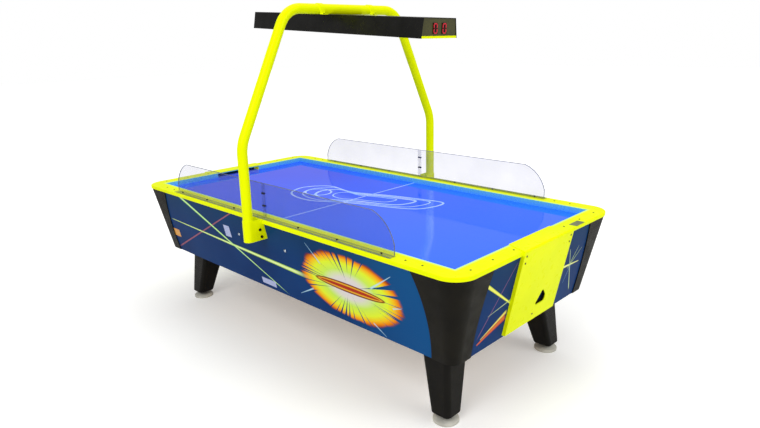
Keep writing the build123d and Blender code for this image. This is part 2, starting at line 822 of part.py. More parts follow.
# ---------------------------------------------------------------- canopy
canopy_plane = Plane(origin=(0, 0, arch_top)).rotated((0, canopy_tilt, 0))
canopy_section = Plane(origin=(0, 0, arch_top), x_dir=(0, 1, 0), z_dir=canopy_plane.x_dir)
canopy_top = -(arch_tube_radius + canopy_hang)
canopy_base = canopy_top - canopy_height
canopy_lean = (canopy_width - canopy_top_width) / 2 / canopy_height
saddle_screw_spacing = 2 * (arch_tube_radius + saddle_foot * saddle_screw_share)


def canopy_profile(inset, low, high):
    """Half section of the tapered canopy between two levels, a given distance inside its skin."""
    bottom, top = (
        canopy_width / 2 - (level - canopy_base) * canopy_lean - inset * hypot(1, canopy_lean)
        for level in (low, high)
    )
    return [(-bottom, low), (bottom, low), (top, high), (-top, high)]


with BuildPart() as canopy_housing:
    for inset, low, high, length, mode in (
        (0, canopy_base, canopy_top, canopy_length, Mode.ADD),
        (canopy_sheet, canopy_base - 1, canopy_top - canopy_sheet, canopy_length + 2, Mode.SUBTRACT),
    ):
        with BuildSketch(canopy_section):
            with BuildLine():
                Polyline(*canopy_profile(inset, low, high), close=True)
            make_face()
        extrude(amount=length / 2, both=True, mode=mode)
    with BuildSketch(canopy_plane.offset(canopy_top)):
        with GridLocations(saddle_screw_spacing, 2 * saddle_places[1], 2, 2):
            Circle(button_shank_radius + hole_clearance)
    extrude(amount=-2 * canopy_sheet, mode=Mode.SUBTRACT)
save(canopy_housing, "canopy_housing")

with BuildPart() as canopy_lens:
    with BuildSketch(canopy_section):
        with BuildLine():
            lens_base = canopy_base + 1
            Polyline(
                *canopy_profile(canopy_sheet + fit_clearance, lens_base, lens_base + lens_thickness),
                close=True,
            )
        make_face()
    extrude(amount=canopy_length / 2 - display_inset - display_thickness - fit_clearance, both=True)
save(canopy_lens, "canopy_lens")

display_height = canopy_height - canopy_sheet - fit_clearance
for end_name, end in ENDS:
    with BuildPart() as display_panel:
        with BuildSketch(canopy_section.offset(end * (canopy_length / 2 - display_inset))):
            with BuildLine():
                Polyline(
                    *canopy_profile(
                        canopy_sheet + fit_clearance, canopy_base, canopy_base + display_height
                    ),
                    close=True,
                )
            make_face()
        extrude(amount=-end * display_thickness)
    save(display_panel, f"display_panel_{end_name}")

with BuildPart() as score_digits:
    for _, end in ENDS:
        for place in (-digit_spacing / 2, digit_spacing / 2):
            with BuildSketch(canopy_plane.offset(canopy_base + (display_height - digit_size[1]) / 2)):
                middle = end * (canopy_length / 2 - display_inset + digit_depth / 2)
                with Locations((middle, place)):
                    Rectangle(digit_depth, digit_size[0])
            extrude(amount=digit_size[1])
save(score_digits, "score_digits")

with BuildPart() as canopy_lamps:
    lamp_end = lamp_end_gap - canopy_length / 2
    lamp_plane = Plane(
        origin=canopy_plane.from_local_coords((lamp_end, 0, canopy_base + canopy_height * lamp_level)),
        z_dir=canopy_plane.x_dir,
        x_dir=(0, 1, 0),
    )
    with BuildSketch(lamp_plane):
        with GridLocations(lamp_spacing, 0, 2, 1):
            Circle(lamp_radius)
    extrude(amount=-2 * lamp_end)
save(canopy_lamps, "canopy_lamps")

with BuildPart() as score_controller:
    with BuildSketch(canopy_plane.offset(canopy_top - canopy_sheet)):
        Rectangle(controller_size[0], controller_size[1])
    extrude(amount=-controller_size[2])
save(score_controller, "score_controller")

strap_inner = arch_tube_radius + running_clearance
strap_outer = strap_inner + saddle_thickness
strap_plane = Plane(origin=(0, 0, arch_top), x_dir=canopy_plane.x_dir, z_dir=(0, -1, 0))
with BuildPart() as tube_saddles:
    for place in saddle_places:
        with BuildSketch(strap_plane.offset(-place)):
            Circle(strap_outer)
            with Locations((0, canopy_top / 2)):
                Rectangle(2 * strap_outer, -canopy_top)
            with Locations((0, canopy_top + saddle_thickness / 2)):
                Rectangle(2 * (strap_outer + saddle_foot), saddle_thickness)
            Circle(strap_inner, mode=Mode.SUBTRACT)
            with Locations((0, canopy_top / 2)):
                Rectangle(2 * strap_inner, -canopy_top, mode=Mode.SUBTRACT)
            with Locations((0, canopy_top - strap_outer / 2)):
                Rectangle(2 * strap_outer, strap_outer, mode=Mode.SUBTRACT)
        extrude(amount=saddle_width / 2, both=True)
    with BuildSketch(canopy_plane.offset(canopy_top)):
        with GridLocations(saddle_screw_spacing, 2 * saddle_places[1], 2, 2):
            Circle(button_shank_radius + hole_clearance)
    extrude(amount=2 * saddle_thickness, mode=Mode.SUBTRACT)
save(tube_saddles, "tube_saddles")

with BuildPart() as saddle_screws:
    with BuildSketch(canopy_plane.offset(canopy_top + saddle_thickness)):
        with GridLocations(saddle_screw_spacing, 2 * saddle_places[1], 2, 2):
            Circle(button_head[0])
    extrude(amount=button_head[1])
    with BuildSketch(canopy_plane.offset(canopy_top + saddle_thickness)):
        with GridLocations(saddle_screw_spacing, 2 * saddle_places[1], 2, 2):
            Circle(button_shank_radius)
    extrude(amount=-12)
save(saddle_screws, "saddle_screws")

# ---------------------------------------------------------------- shields
shield_top = rail_height + shield_rise
for end_name, end in ENDS:
    for side_name, side in SIDES:
        with BuildPart() as shield:
            with BuildSketch(Plane.YZ) as section:
                with BuildLine():
                    Polyline(
                        (side * (shield_line - shield_thickness / 2), rail_height),
                        (side * (shield_line - shield_thickness / 2), shield_top),
                        (side * (shield_line + shield_thickness / 2), shield_top),
                        (side * (shield_line + shield_thickness / 2), rail_height + shield_thickness),
                        (side * (shield_line + shield_foot), rail_height + shield_thickness),
                        (side * (shield_line + shield_foot), rail_height),
                        close=True,
                    )
                make_face()
                heel = section.vertices().sort_by(Axis.Y)[:2].sort_by(Axis.X)[::side][0]
                fillet(heel, shield_bend)
            extrude(amount=shield_half_length, both=True)
            with BuildSketch(Plane.XZ):
                with BuildLine():
                    shoulder = ThreePointArc(
                        (end * shield_half_length, rail_height + shield_shoulder),
                        (end * (shield_half_length - 52), rail_height + shield_rise - 42),
                        (end * (shield_half_length - shield_end_slant), shield_top),
                    )
                    Polyline(
                        shoulder @ 1,
                        (end * shield_gap / 2, shield_top),
                        (end * shield_gap / 2, rail_height),
                        (end * shield_half_length, rail_height),
                        shoulder @ 0,
                    )
                make_face()
            extrude(amount=reach, both=True, mode=Mode.INTERSECT)
            with BuildSketch(Plane.XY.offset(rail_height)):
                with Locations(*[(x, side * y) for x, y in rail_buttons if x * end > 0]):
                    Circle(button_shank_radius + hole_clearance)
            extrude(amount=shield_thickness, mode=Mode.SUBTRACT)
            with BuildSketch(Plane.XZ):
                with Locations(*[(end * splice_width / 3.5, rail_height + h) for h in splice_bolt_levels]):
                    Circle(button_shank_radius + hole_clearance)
            extrude(amount=reach, both=True, mode=Mode.SUBTRACT)
        save(shield, f"shield_{side_name}_{end_name}")

with BuildPart() as shield_splices:
    for _, side in SIDES:
        splice_face = side * (shield_line + shield_thickness / 2)
        with BuildSketch(Plane.XZ.offset(-splice_face)):
            with Locations((0, rail_height + (shield_rise + shield_thickness + 2) / 2)):
                Rectangle(splice_width, shield_rise - shield_thickness - 2)
            for height in splice_bolt_levels:
                with Locations((0, rail_height + height)):
                    with GridLocations(2 * splice_width / 3.5, 0, 2, 1):
                        Circle(button_shank_radius + hole_clearance, mode=Mode.SUBTRACT)
        extrude(amount=-side * 3)
save(shield_splices, "shield_splices")

# ---------------------------------------------------------------- screws on the table top
with BuildPart() as button_screws:
    for _, side in SIDES:
        spots = [(x, side * y) for x, y in rail_buttons]
        seat = rail_height + shield_thickness
        with BuildSketch(Plane.XY.offset(seat)):
            with Locations(*spots):
                Circle(button_head[0])
        extrude(amount=button_head[1], taper=25)
        with BuildSketch(Plane.XY.offset(seat)):
            with Locations(*spots):
                Circle(button_shank_radius)
        extrude(amount=-(shield_thickness + button_depth - 2))
        splice_face = shield_line + shield_thickness / 2 + 3
        bolt_spots = [
            (sign * splice_width / 3.5, rail_height + height)
            for sign in (-1, 1)
            for height in splice_bolt_levels
        ]
        with BuildSketch(Plane.XZ.offset(-side * splice_face)):
            with Locations(*bolt_spots):
                Circle(button_head[0])
        extrude(amount=-side * button_head[1])
        with BuildSketch(Plane.XZ.offset(-side * splice_face)):
            with Locations(*bolt_spots):
                Circle(button_shank_radius)
        extrude(amount=side * (shield_thickness + 3))
save(button_screws, "button_screws")

with BuildPart() as rail_screws:
    spots = [(end * x, y) for _, end in ENDS for x, y in end_screws if abs(y) > goal_cover_width / 2]
    spots += [(x, side * y) for _, side in SIDES for x, y in side_screws]
    with BuildSketch(Plane.XY.offset(rail_height)):
        with Locations(*spots):
            Circle(rail_screw_head[0])
    extrude(amount=rail_screw_head[1], taper=30)
    with BuildSketch(Plane.XY.offset(rail_height)):
        with Locations(*spots):
            Circle(rail_screw_shank_radius)
    extrude(amount=-(rail_screw_depth - 1))
    for _, end in ENDS:
        cover_plane = end_plane(end, cabinet_top, shell_thickness - goal_cover_standoff)
        with BuildSketch(cover_plane):
            with Locations(*cover_screws):
                Circle(rail_screw_head[0])
        extrude(amount=rail_screw_head[1])
        with BuildSketch(cover_plane):
            with Locations(*cover_screws):
                Circle(rail_screw_shank_radius)
        extrude(amount=-10)
save(rail_screws, "rail_screws")

# ---------------------------------------------------------------- power inlet
inlet_plane = end_plane(-1, inlet_level)
rocker_middle = inlet_across + rocker_offset
pocket = 2 * (rocker_radius + fit_clearance)
with BuildPart() as power_inlet:
    with BuildSketch(inlet_plane):
        with Locations((inlet_across, 0)):
            RectangleRounded(*inlet_size, 4)
    extrude(amount=inlet_plate)
    with BuildSketch(inlet_plane):
        with Locations((inlet_across, 0)):
            Rectangle(inlet_size[0] - 8, inlet_size[1] - 8)
    extrude(amount=-inlet_depth)
    with BuildSketch(inlet_plane.offset(inlet_plate)):
        with Locations((inlet_across - inlet_size[0] / 4, 0)):
            Rectangle(24, 16)
    extrude(amount=-20, mode=Mode.SUBTRACT)
    with BuildSketch(inlet_plane.offset(inlet_plate)):
        with Locations((rocker_middle, 0)):
            Rectangle(rocker_width + 2 * fit_clearance, pocket)
    extrude(amount=-(inlet_plate + rocker_axis_depth + pocket / 2 + 2), mode=Mode.SUBTRACT)
    with BuildSketch(inlet_plane.offset(-inlet_depth + 8)):
        with Locations((inlet_across - inlet_size[0] / 4, 0)):
            with GridLocations(7, 0, 3, 1):
                Rectangle(2, 5)
    extrude(amount=inlet_depth - 15)
save(power_inlet, "power_inlet")

rocker_plane = Plane(
    origin=inlet_plane.from_local_coords((rocker_middle - rocker_width / 2, 0, -rocker_axis_depth)),
    x_dir=inlet_plane.y_dir,
    z_dir=inlet_plane.x_dir,
)
with BuildPart() as power_rocker:
    with BuildSketch(rocker_plane):
        Circle(rocker_radius)
        for lean in (0, -rocker_throw):
            with Locations(Location((0, 0, 0), (0, 0, lean))):
                with Locations((0, rocker_flat + rocker_radius / 2)):
                    Rectangle(2 * rocker_radius, rocker_radius, mode=Mode.SUBTRACT)
    extrude(amount=rocker_width)
save(power_rocker, "power_rocker")
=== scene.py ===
"""Looks of an arcade air hockey table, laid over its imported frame. Metres, +Z up."""
import json
import math

import bmesh
import bpy
import numpy as np
from mathutils import Matrix, Vector


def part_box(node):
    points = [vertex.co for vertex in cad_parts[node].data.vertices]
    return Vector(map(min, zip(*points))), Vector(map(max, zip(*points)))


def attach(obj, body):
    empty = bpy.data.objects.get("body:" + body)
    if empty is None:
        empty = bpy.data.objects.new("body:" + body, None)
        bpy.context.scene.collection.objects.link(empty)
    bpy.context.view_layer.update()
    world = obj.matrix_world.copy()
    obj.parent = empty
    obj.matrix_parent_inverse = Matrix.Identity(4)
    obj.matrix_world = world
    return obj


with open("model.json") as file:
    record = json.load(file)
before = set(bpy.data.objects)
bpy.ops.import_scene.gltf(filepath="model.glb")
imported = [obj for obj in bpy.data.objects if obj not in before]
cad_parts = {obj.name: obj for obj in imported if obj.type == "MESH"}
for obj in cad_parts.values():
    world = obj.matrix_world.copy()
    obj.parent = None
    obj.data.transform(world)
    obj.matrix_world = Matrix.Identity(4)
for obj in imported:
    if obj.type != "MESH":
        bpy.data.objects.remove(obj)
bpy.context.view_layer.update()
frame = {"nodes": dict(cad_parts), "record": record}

NODES = frame["nodes"]
SIDE_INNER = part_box("side_bumper_far")[0].y
END_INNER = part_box("end_bumper_right")[0].x
SHIELD_LOW, SHIELD_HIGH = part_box("shield_far_right")
FOOT_INNER, FOOT_OUTER = SHIELD_LOW.y, SHIELD_HIGH.y
SHIELD_END = SHIELD_HIGH.x
PANEL_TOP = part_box("side_panel_near")[1].z
PANEL_FACE = -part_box("side_panel_near")[0].y
LEAN = 0.085 / (PANEL_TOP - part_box("side_panel_near")[0].z)
COVER_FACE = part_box("end_panel_right")[1].x + 0.017 - PANEL_TOP * LEAN

# ---------------------------------------------------------------- camera
EYE = Vector((2.4964, -2.3077, 1.6445))
YAW, PITCH, ROLL = -0.778, 0.276, -0.024
LENS = 28.55
SHIFT = (0.0009, -0.0034)


def place_camera():
    """Eye-height view of the near right-hand corner."""
    ahead = Vector((
        math.sin(YAW) * math.cos(PITCH), math.cos(YAW) * math.cos(PITCH), -math.sin(PITCH)
    ))
    right = Vector((math.cos(YAW), -math.sin(YAW), 0))
    up = right.cross(ahead)
    level = right * math.cos(ROLL) + up * math.sin(ROLL)
    upright = up * math.cos(ROLL) - right * math.sin(ROLL)
    data = bpy.data.cameras.new("camera")
    data.lens = LENS
    data.sensor_width = 36.0
    data.shift_x, data.shift_y = SHIFT
    camera = bpy.data.objects.new("camera", data)
    axes = Matrix((level, upright, -ahead)).transposed().to_4x4()
    camera.matrix_world = Matrix.Translation(EYE) @ axes
    bpy.context.scene.collection.objects.link(camera)
    bpy.context.scene.camera = camera


place_camera()

# ---------------------------------------------------------------- node helpers


def linear(hex_colour):
    """sRGB hex to a linear RGBA colour."""
    channels = [int(hex_colour[i : i + 2], 16) / 255 for i in (1, 3, 5)]
    return tuple(
        c / 12.92 if c <= 0.04045 else ((c + 0.055) / 1.055) ** 2.4 for c in channels
    ) + (1.0,)


def put(tree, kind, inputs=None, **settings):
    """Adds a node, sets its properties, and sets or links its inputs."""
    node = tree.nodes.new(kind)
    for name, value in settings.items():
        setattr(node, name, value)
    for name, value in (inputs or {}).items():
        if isinstance(value, bpy.types.NodeSocket):
            tree.links.new(value, node.inputs[name])
        else:
            node.inputs[name].default_value = value
    return node


def start_material(name, **sockets):
    """A material with one Principled shader; sockets are its inputs, by name with _ for space."""
    material = bpy.data.materials.new(name)
    material.use_nodes = True
    tree = material.node_tree
    tree.nodes.clear()
    shader = put(tree, "ShaderNodeBsdfPrincipled")
    for name, value in sockets.items():
        shader.inputs[name.replace("_", " ")].default_value = value
    put(tree, "ShaderNodeOutputMaterial", {"Surface": shader.outputs[0]})
    where = put(tree, "ShaderNodeTexCoord").outputs["Object"]
    return material, tree, shader, where


def mottle(tree, where, size, low, high, detail=3.0, rough=0.55):
    """Noise with features of a given size in metres, spread over low to high."""
    noise = put(
        tree, "ShaderNodeTexNoise",
        {"Vector": where, "Scale": 1.0 / size, "Detail": detail, "Roughness": rough},
    )
    spread = put(
        tree, "ShaderNodeMapRange",
        {"Value": noise.outputs[0], "From Min": 0.3, "From Max": 0.7, "To Min": low, "To Max": high},
    )
    return spread.outputs[0]


def blend_colour(tree, share, first, second):
    """First colour where share is 0, second where it is 1."""
    mix = put(
        tree, "ShaderNodeMix",
        {"Factor": share, 6: first, 7: second}, data_type="RGBA",
    )
    return mix.outputs[2]


def math_node(tree, operation, *values, clamp=False):
    """One step of arithmetic on sockets or numbers."""
    return put(
        tree, "ShaderNodeMath", dict(enumerate(values)), operation=operation, use_clamp=clamp
    ).outputs[0]


def smooth(tree, value, begin, finish, low=0.0, high=1.0):
    """Soft step from low to high as value goes from begin to finish."""
    return put(
        tree, "ShaderNodeMapRange",
        {"Value": value, "From Min": begin, "From Max": finish, "To Min": low, "To Max": high},
        interpolation_type="SMOOTHSTEP",
    ).outputs[0]


def add_bump(tree, shader, height, distance, strength=1.0):
    """Relief of a given depth in metres."""
    bump = put(
        tree, "ShaderNodeBump", {"Height": height, "Distance": distance, "Strength": strength}
    )
    tree.links.new(bump.outputs[0], shader.inputs["Normal"])


def feed(tree, shader, **sockets):
    """Links sockets into a shader's inputs by name."""
    for name, value in sockets.items():
        tree.links.new(value, shader.inputs[name.replace("_", " ")])


# ---------------------------------------------------------------- materials


def rail_shades(tree, where, colour):
    """Painted highlight on the pale green-cyan inner lip, and painted shade in the olive line and band where
    the shield's foot shades the rail.
    """
    parts = put(tree, "ShaderNodeSeparateXYZ", {0: where})
    along, across = (math_node(tree, "ABSOLUTE", parts.outputs[axis]) for axis in (0, 1))
    side_in = math_node(tree, "SUBTRACT", across, SIDE_INNER)
    end_in = math_node(tree, "SUBTRACT", along, END_INNER)
    inward = math_node(tree, "MAXIMUM", side_in, end_in)
    # Painted highlight: the inner lip is paled towards green-cyan.
    lip = smooth(tree, inward, 0.018, 0.010, 0.0, 0.75)
    colour = blend_colour(tree, lip, colour, linear("#CDF58C"))
    between = smooth(tree, along, SHIELD_END + 0.004, SHIELD_END - 0.004)
    foot = math_node(tree, "MULTIPLY", between, smooth(tree, across, FOOT_INNER - 0.001, FOOT_INNER + 0.002))
    foot = math_node(tree, "MULTIPLY", foot, smooth(tree, across, FOOT_OUTER + 0.003, FOOT_OUTER, 0.0, 0.45))
    colour = blend_colour(tree, foot, colour, linear("#C4D20A"))
    line = math_node(tree, "ABSOLUTE", math_node(tree, "SUBTRACT", across, FOOT_INNER))
    line = math_node(tree, "MULTIPLY", smooth(tree, line, 0.008, 0.002, 0.0, 0.8), between)
    return blend_colour(tree, line, colour, linear("#8E9C10"))


def painted_shade_behind(tree, where, colour):
    """Paints shade on the folded collar behind an end cover's face: a dark colour where the return opening's
    inside lies in shade.
    """
    parts = put(tree, "ShaderNodeSeparateXYZ", {0: where})
    face = math_node(tree, "MULTIPLY_ADD", parts.outputs[2], LEAN, COVER_FACE)
    depth = math_node(tree, "SUBTRACT", face, math_node(tree, "ABSOLUTE", parts.outputs[0]))
    mask = smooth(tree, depth, 0.0034, 0.0044)
    mask = math_node(tree, "MULTIPLY", mask, smooth(tree, parts.outputs[2], 0.6, 0.58))
    across = math_node(tree, "ABSOLUTE", parts.outputs[1])
    mask = math_node(tree, "MULTIPLY", mask, smooth(tree, across, 0.2, 0.19))
    return blend_colour(tree, mask, colour, linear("#15150F"))


def fluorescent_plastic(name, grain_mm, roughness, shaded=False, hollow=False):
    """Fluorescent yellow moulding or powder coat: its emission paints in a little glow, standing in for the
    day-glow pigment's fluorescence.
    """
    material, tree, shader, where = start_material(
        name, IOR=1.49, Roughness=roughness, Emission_Strength=0.14, Specular_IOR_Level=0.04
    )
    hue = mottle(tree, where, 0.22, 0.0, 1.0, detail=2.0)
    colour = blend_colour(tree, hue, linear("#E0EC00"), linear("#E8F200"))
    if shaded:
        colour = rail_shades(tree, where, colour)
    if hollow:
        # Painted shade: the collar inside the return opening is coloured dark.
        colour = painted_shade_behind(tree, where, colour)
    scuff = mottle(tree, where, 0.018, 0.0, 1.0, detail=7.0, rough=0.7)
    worn = smooth(tree, scuff, 0.86, 1.0, 0.0, 0.1)
    colour = blend_colour(tree, worn, colour, linear("#B9C913"))
    rough = mottle(tree, where, 0.03, roughness * 0.8, roughness * 1.3, detail=5.0)
    feed(tree, shader, Base_Color=colour, Roughness=rough, Emission_Color=colour)
    # Orange peel of the sprayed or moulded skin.
    add_bump(tree, shader, mottle(tree, where, grain_mm / 1000, 0.0, 1.0, detail=0.0), 0.00004, 0.4)
    return material


def grained_abs(name, light, dark, grain_mm=2.2, roughness=0.42):
    """Black vacuum-formed ABS with a leather grain: soft broken highlights."""
    material, tree, shader, where = start_material(
        name, IOR=1.52, Roughness=roughness, Specular_IOR_Level=0.1
    )
    tone = mottle(tree, where, 0.14, 0.0, 1.0)
    dust = smooth(tree, mottle(tree, where, 0.01, 0.0, 1.0, detail=8.0, rough=0.75), 0.8, 1.0, 0.0, 0.2)
    colour = blend_colour(tree, tone, linear(dark), linear(light))
    colour = blend_colour(tree, dust, colour, linear("#5B564C"))
    cells = put(
        tree, "ShaderNodeTexVoronoi",
        {"Vector": where, "Scale": 1000 / grain_mm}, feature="DISTANCE_TO_EDGE",
    )
    pebbles = smooth(tree, cells.outputs["Distance"], 0.0, 0.25)
    rough = mottle(tree, where, 0.05, roughness * 0.85, roughness * 1.2)
    feed(tree, shader, Base_Color=colour, Roughness=rough)
    add_bump(tree, shader, pebbles, 0.0002, 0.6)
    return material


def powder_coat(name, hex_colour, grain_mm=0.9, roughness=0.38, metallic=0.0):
    """Powder coated sheet: a fine even texture that spreads the highlight."""
    material, tree, shader, where = start_material(
        name, IOR=1.5, Roughness=roughness, Metallic=metallic, Specular_IOR_Level=0.2
    )
    shade = mottle(tree, where, 0.09, 0.0, 1.0)
    base = linear(hex_colour)
    paler = tuple(min(1, c * 1.5 + 0.004) for c in base)
    colour = blend_colour(tree, shade, base, paler)
    rough = mottle(tree, where, 0.04, roughness * 0.8, roughness * 1.25)
    feed(tree, shader, Base_Color=colour, Roughness=rough)
    add_bump(tree, shader, mottle(tree, where, grain_mm / 1000, 0.0, 1.0), 0.0001, 0.5)
    return material


def bare_metal(name, hex_colour, roughness, streak_axis=0, streak_mm=0.8):
    """Rolled, plated or anodised metal: streaks along one axis stretch the highlight."""
    material, tree, shader, where = start_material(name, Metallic=1.0, Roughness=roughness)
    stretch = [1000 / streak_mm] * 3
    stretch[streak_axis] = 12.0
    streaks = put(
        tree, "ShaderNodeTexNoise",
        {
            "Vector": put(tree, "ShaderNodeMapping", {"Vector": where, "Scale": stretch}).outputs[0],
            "Scale": 1.0, "Detail": 3.0,
        },
    ).outputs[0]
    base = linear(hex_colour)
    darker = tuple(c * 0.72 for c in base[:3]) + (1.0,)
    blotch = mottle(tree, where, 0.05, 0.0, 1.0)
    rough = math_node(tree, "MULTIPLY_ADD", streaks, roughness * 0.7, roughness * 0.65)
    feed(tree, shader, Base_Color=blend_colour(tree, blotch, base, darker), Roughness=rough)
    add_bump(tree, shader, streaks, 0.00005, 0.5)
    return material


def anodised_bumper(name):
    """Clear anodised extrusion lit by the blue playfield: pale cyan, with a mottled roughness."""
    material, tree, shader, where = start_material(name, Metallic=0.25, Emission_Strength=0.15)
    height = put(tree, "ShaderNodeSeparateXYZ", {0: where}).outputs[2]
    glow = smooth(tree, height, 0.757, 0.784)
    colour = blend_colour(tree, glow, linear("#50AAE6"), linear("#64BED2"))
    feed(
        tree, shader, Base_Color=colour, Emission_Color=colour,
        Roughness=mottle(tree, where, 0.03, 0.2, 0.34),
    )
    return material


def particle_board(name):
    """Raw particle board: pressed chips a few millimetres long, matt."""
    material, tree, shader, where = start_material(name, Roughness=0.85, IOR=1.5)
    chips = put(tree, "ShaderNodeTexVoronoi", {"Vector": where, "Scale": 260.0})
    tone = put(tree, "ShaderNodeSeparateColor", {"Color": chips.outputs["Color"]}).outputs[0]
    colour = blend_colour(tree, tone, linear("#8A6A45"), linear("#C6A577"))
    feed(tree, shader, Base_Color=colour)
    add_bump(tree, shader, chips.outputs["Distance"], 0.0003, 0.4)
    return material


def beam(tree, flat, colour, start, end, widths, core, edge, strength=1.0):
    """Prints a tapering light beam over colour: full inside its width, soft at the sides and ends."""
    run = Vector(end) - Vector(start)
    local = put(
        tree, "ShaderNodeMapping",
        {
            "Vector": flat,
            "Location": (start[0], start[1], 0.0),
            "Rotation": (0.0, 0.0, math.atan2(run.y, run.x)),
            "Scale": (run.length, 1.0, 1.0),
        },
        vector_type="TEXTURE",
    )
    parts = put(tree, "ShaderNodeSeparateXYZ", {0: local.outputs[0]})
    along = parts.outputs[0]
    across = math_node(tree, "ABSOLUTE", parts.outputs[1])
    half = math_node(tree, "MULTIPLY_ADD", along, (widths[1] - widths[0]) / 2, widths[0] / 2)
    offset = math_node(tree, "SUBTRACT", across, half)
    inside = smooth(tree, offset, 0.0012, -0.0012)
    ends = math_node(tree, "MULTIPLY", smooth(tree, along, 0.0, 0.03), smooth(tree, along, 1.0, 0.9))
    mask = math_node(tree, "MULTIPLY", math_node(tree, "MULTIPLY", inside, ends), strength)
    inner = smooth(tree, math_node(tree, "DIVIDE", across, half), 1.0, 0.2)
    return blend_colour(tree, mask, colour, blend_colour(tree, inner, linear(edge), linear(core)))


def burst(tree, flat, colour, centre, radii):
    """Prints a light burst: white heart, yellow, orange rim, split by dark wedges that open outwards."""
    local = put(
        tree, "ShaderNodeMapping",
        {"Vector": flat, "Location": (*centre, 0.0), "Scale": (*radii, 1.0)}, vector_type="TEXTURE",
    ).outputs[0]
    radius = put(tree, "ShaderNodeVectorMath", {0: local}, operation="LENGTH").outputs["Value"]
    heading = put(tree, "ShaderNodeVectorMath", {0: local}, operation="NORMALIZE").outputs[0]
    cracks, starts, rim = (
        put(tree, "ShaderNodeTexNoise", {"Vector": heading, "Scale": scale, "Detail": detail}).outputs[0]
        for scale, detail in ((5.2, 0.0), (3.1, 0.0), (2.6, 1.0))
    )
    begin = math_node(tree, "MULTIPLY_ADD", starts, 1.6, -0.34)
    width = math_node(tree, "MULTIPLY", math_node(tree, "SUBTRACT", radius, begin), 0.062)
    crack = math_node(tree, "ABSOLUTE", math_node(tree, "SUBTRACT", cracks, 0.5))
    rays = smooth(tree, math_node(tree, "SUBTRACT", crack, width), 0.0, 0.008)
    reach = math_node(tree, "MULTIPLY_ADD", rim, 0.24, 0.86)
    body = smooth(tree, math_node(tree, "DIVIDE", radius, reach), 1.03, 0.95)
    ramp = put(tree, "ShaderNodeValToRGB", {"Fac": radius})
    stops = (
        (0.0, "#E1D7E1"), (0.32, "#E1DCD2"), (0.52, "#CDF05A"), (0.72, "#E6F532"),
        (0.84, "#FAC31E"), (0.92, "#F08214"), (1.0, "#82280F"),
    )
    while len(ramp.color_ramp.elements) < len(stops):
        ramp.color_ramp.elements.new(0.5)
    for element, (place, shade) in zip(ramp.color_ramp.elements, stops):
        element.position = place
        element.color = linear(shade)
    mask = math_node(tree, "MULTIPLY", rays, body)
    return blend_colour(tree, mask, colour, ramp.outputs[0])


def title_bar(tree, flat, colour, centre):
    """Prints a plain lens-shaped bar, red edged and yellow inside, through a burst's heart."""
    layers = (
        ((0.235, 0.025), "#781E14"), ((0.222, 0.018), "#E6AA32"), ((0.205, 0.009), "#B4371E"),
    )
    for radii, shade in layers:
        local = put(
            tree, "ShaderNodeMapping",
            {"Vector": flat, "Location": (*centre, 0.0), "Scale": (*radii, 1.0)}, vector_type="TEXTURE",
        ).outputs[0]
        size = put(tree, "ShaderNodeVectorMath", {0: local}, operation="LENGTH").outputs["Value"]
        colour = blend_colour(tree, smooth(tree, size, 1.02, 0.94), colour, linear(shade))
    return colour


def printed_laminate(name, axis, sense, beams, burst_place=None):
    """Printed high-pressure laminate: deep blue with light beams, under a satin clear film."""
    material, tree, shader, where = start_material(
        name, IOR=1.5, Roughness=0.3, Specular_IOR_Level=0.03
    )
    parts = put(tree, "ShaderNodeSeparateXYZ", {0: where})
    across = math_node(tree, "MULTIPLY", parts.outputs[axis], sense)
    flat = put(tree, "ShaderNodeCombineXYZ", {0: across, 1: parts.outputs[2]}).outputs[0]
    cloud = mottle(tree, where, 0.5, 0.0, 1.0, detail=2.0)
    colour = blend_colour(tree, cloud, linear("#082C62"), linear("#0A3A74"))
    top = smooth(tree, parts.outputs[2], 0.55, 0.775, 0.0, 0.35)
    colour = blend_colour(tree, top, colour, linear("#0E4258"))
    bright = smooth(tree, across, 0.4, 1.1, 0.0, 0.7)
    colour = blend_colour(tree, bright, colour, linear("#145A96"))
    if burst_place:
        colour = burst(tree, flat, colour, *burst_place)
    for place in beams:
        colour = beam(tree, flat, colour, *place)
    if burst_place:
        colour = title_bar(tree, flat, colour, burst_place[0])
    rough = mottle(tree, where, 0.3, 0.3, 0.36)
    feed(tree, shader, Base_Color=colour, Roughness=rough)
    return material


def blown_laminate(name):
    """High gloss blue laminate, drilled with air holes every inch; holes drawn 2.4 mm wide to show."""
    material, tree, shader, where = start_material(
        name, IOR=1.45, Roughness=0.05, Emission_Strength=0.27, Specular_IOR_Level=0.75
    )
    depth = mottle(tree, where, 0.9, 0.0, 1.0, detail=1.0)
    colour = blend_colour(tree, depth, linear("#1434E0"), linear("#1A46EE"))
    length = put(tree, "ShaderNodeSeparateXYZ", {0: where}).outputs[0]
    colour = blend_colour(tree, smooth(tree, length, -1.3, 0.9), colour, linear("#1460FF"))
    holes = put(
        tree, "ShaderNodeTexVoronoi",
        {"Vector": where, "Scale": 1 / 0.0254, "Randomness": 0.0}, voronoi_dimensions="2D",
    ).outputs["Distance"]
    drilled = smooth(tree, holes, 0.052, 0.042, 0.0, 0.75)
    colour = blend_colour(tree, drilled, colour, linear("#0A1250"))
    rough = mottle(tree, where, 0.12, 0.04, 0.1, detail=6.0)
    # Painted glow: the colour is fed to the emission too, so the playfield glows though it is no lamp.
    feed(tree, shader, Base_Color=colour, Roughness=rough, Emission_Color=colour)
    add_bump(tree, shader, drilled, -0.0004, 0.6)
    return material


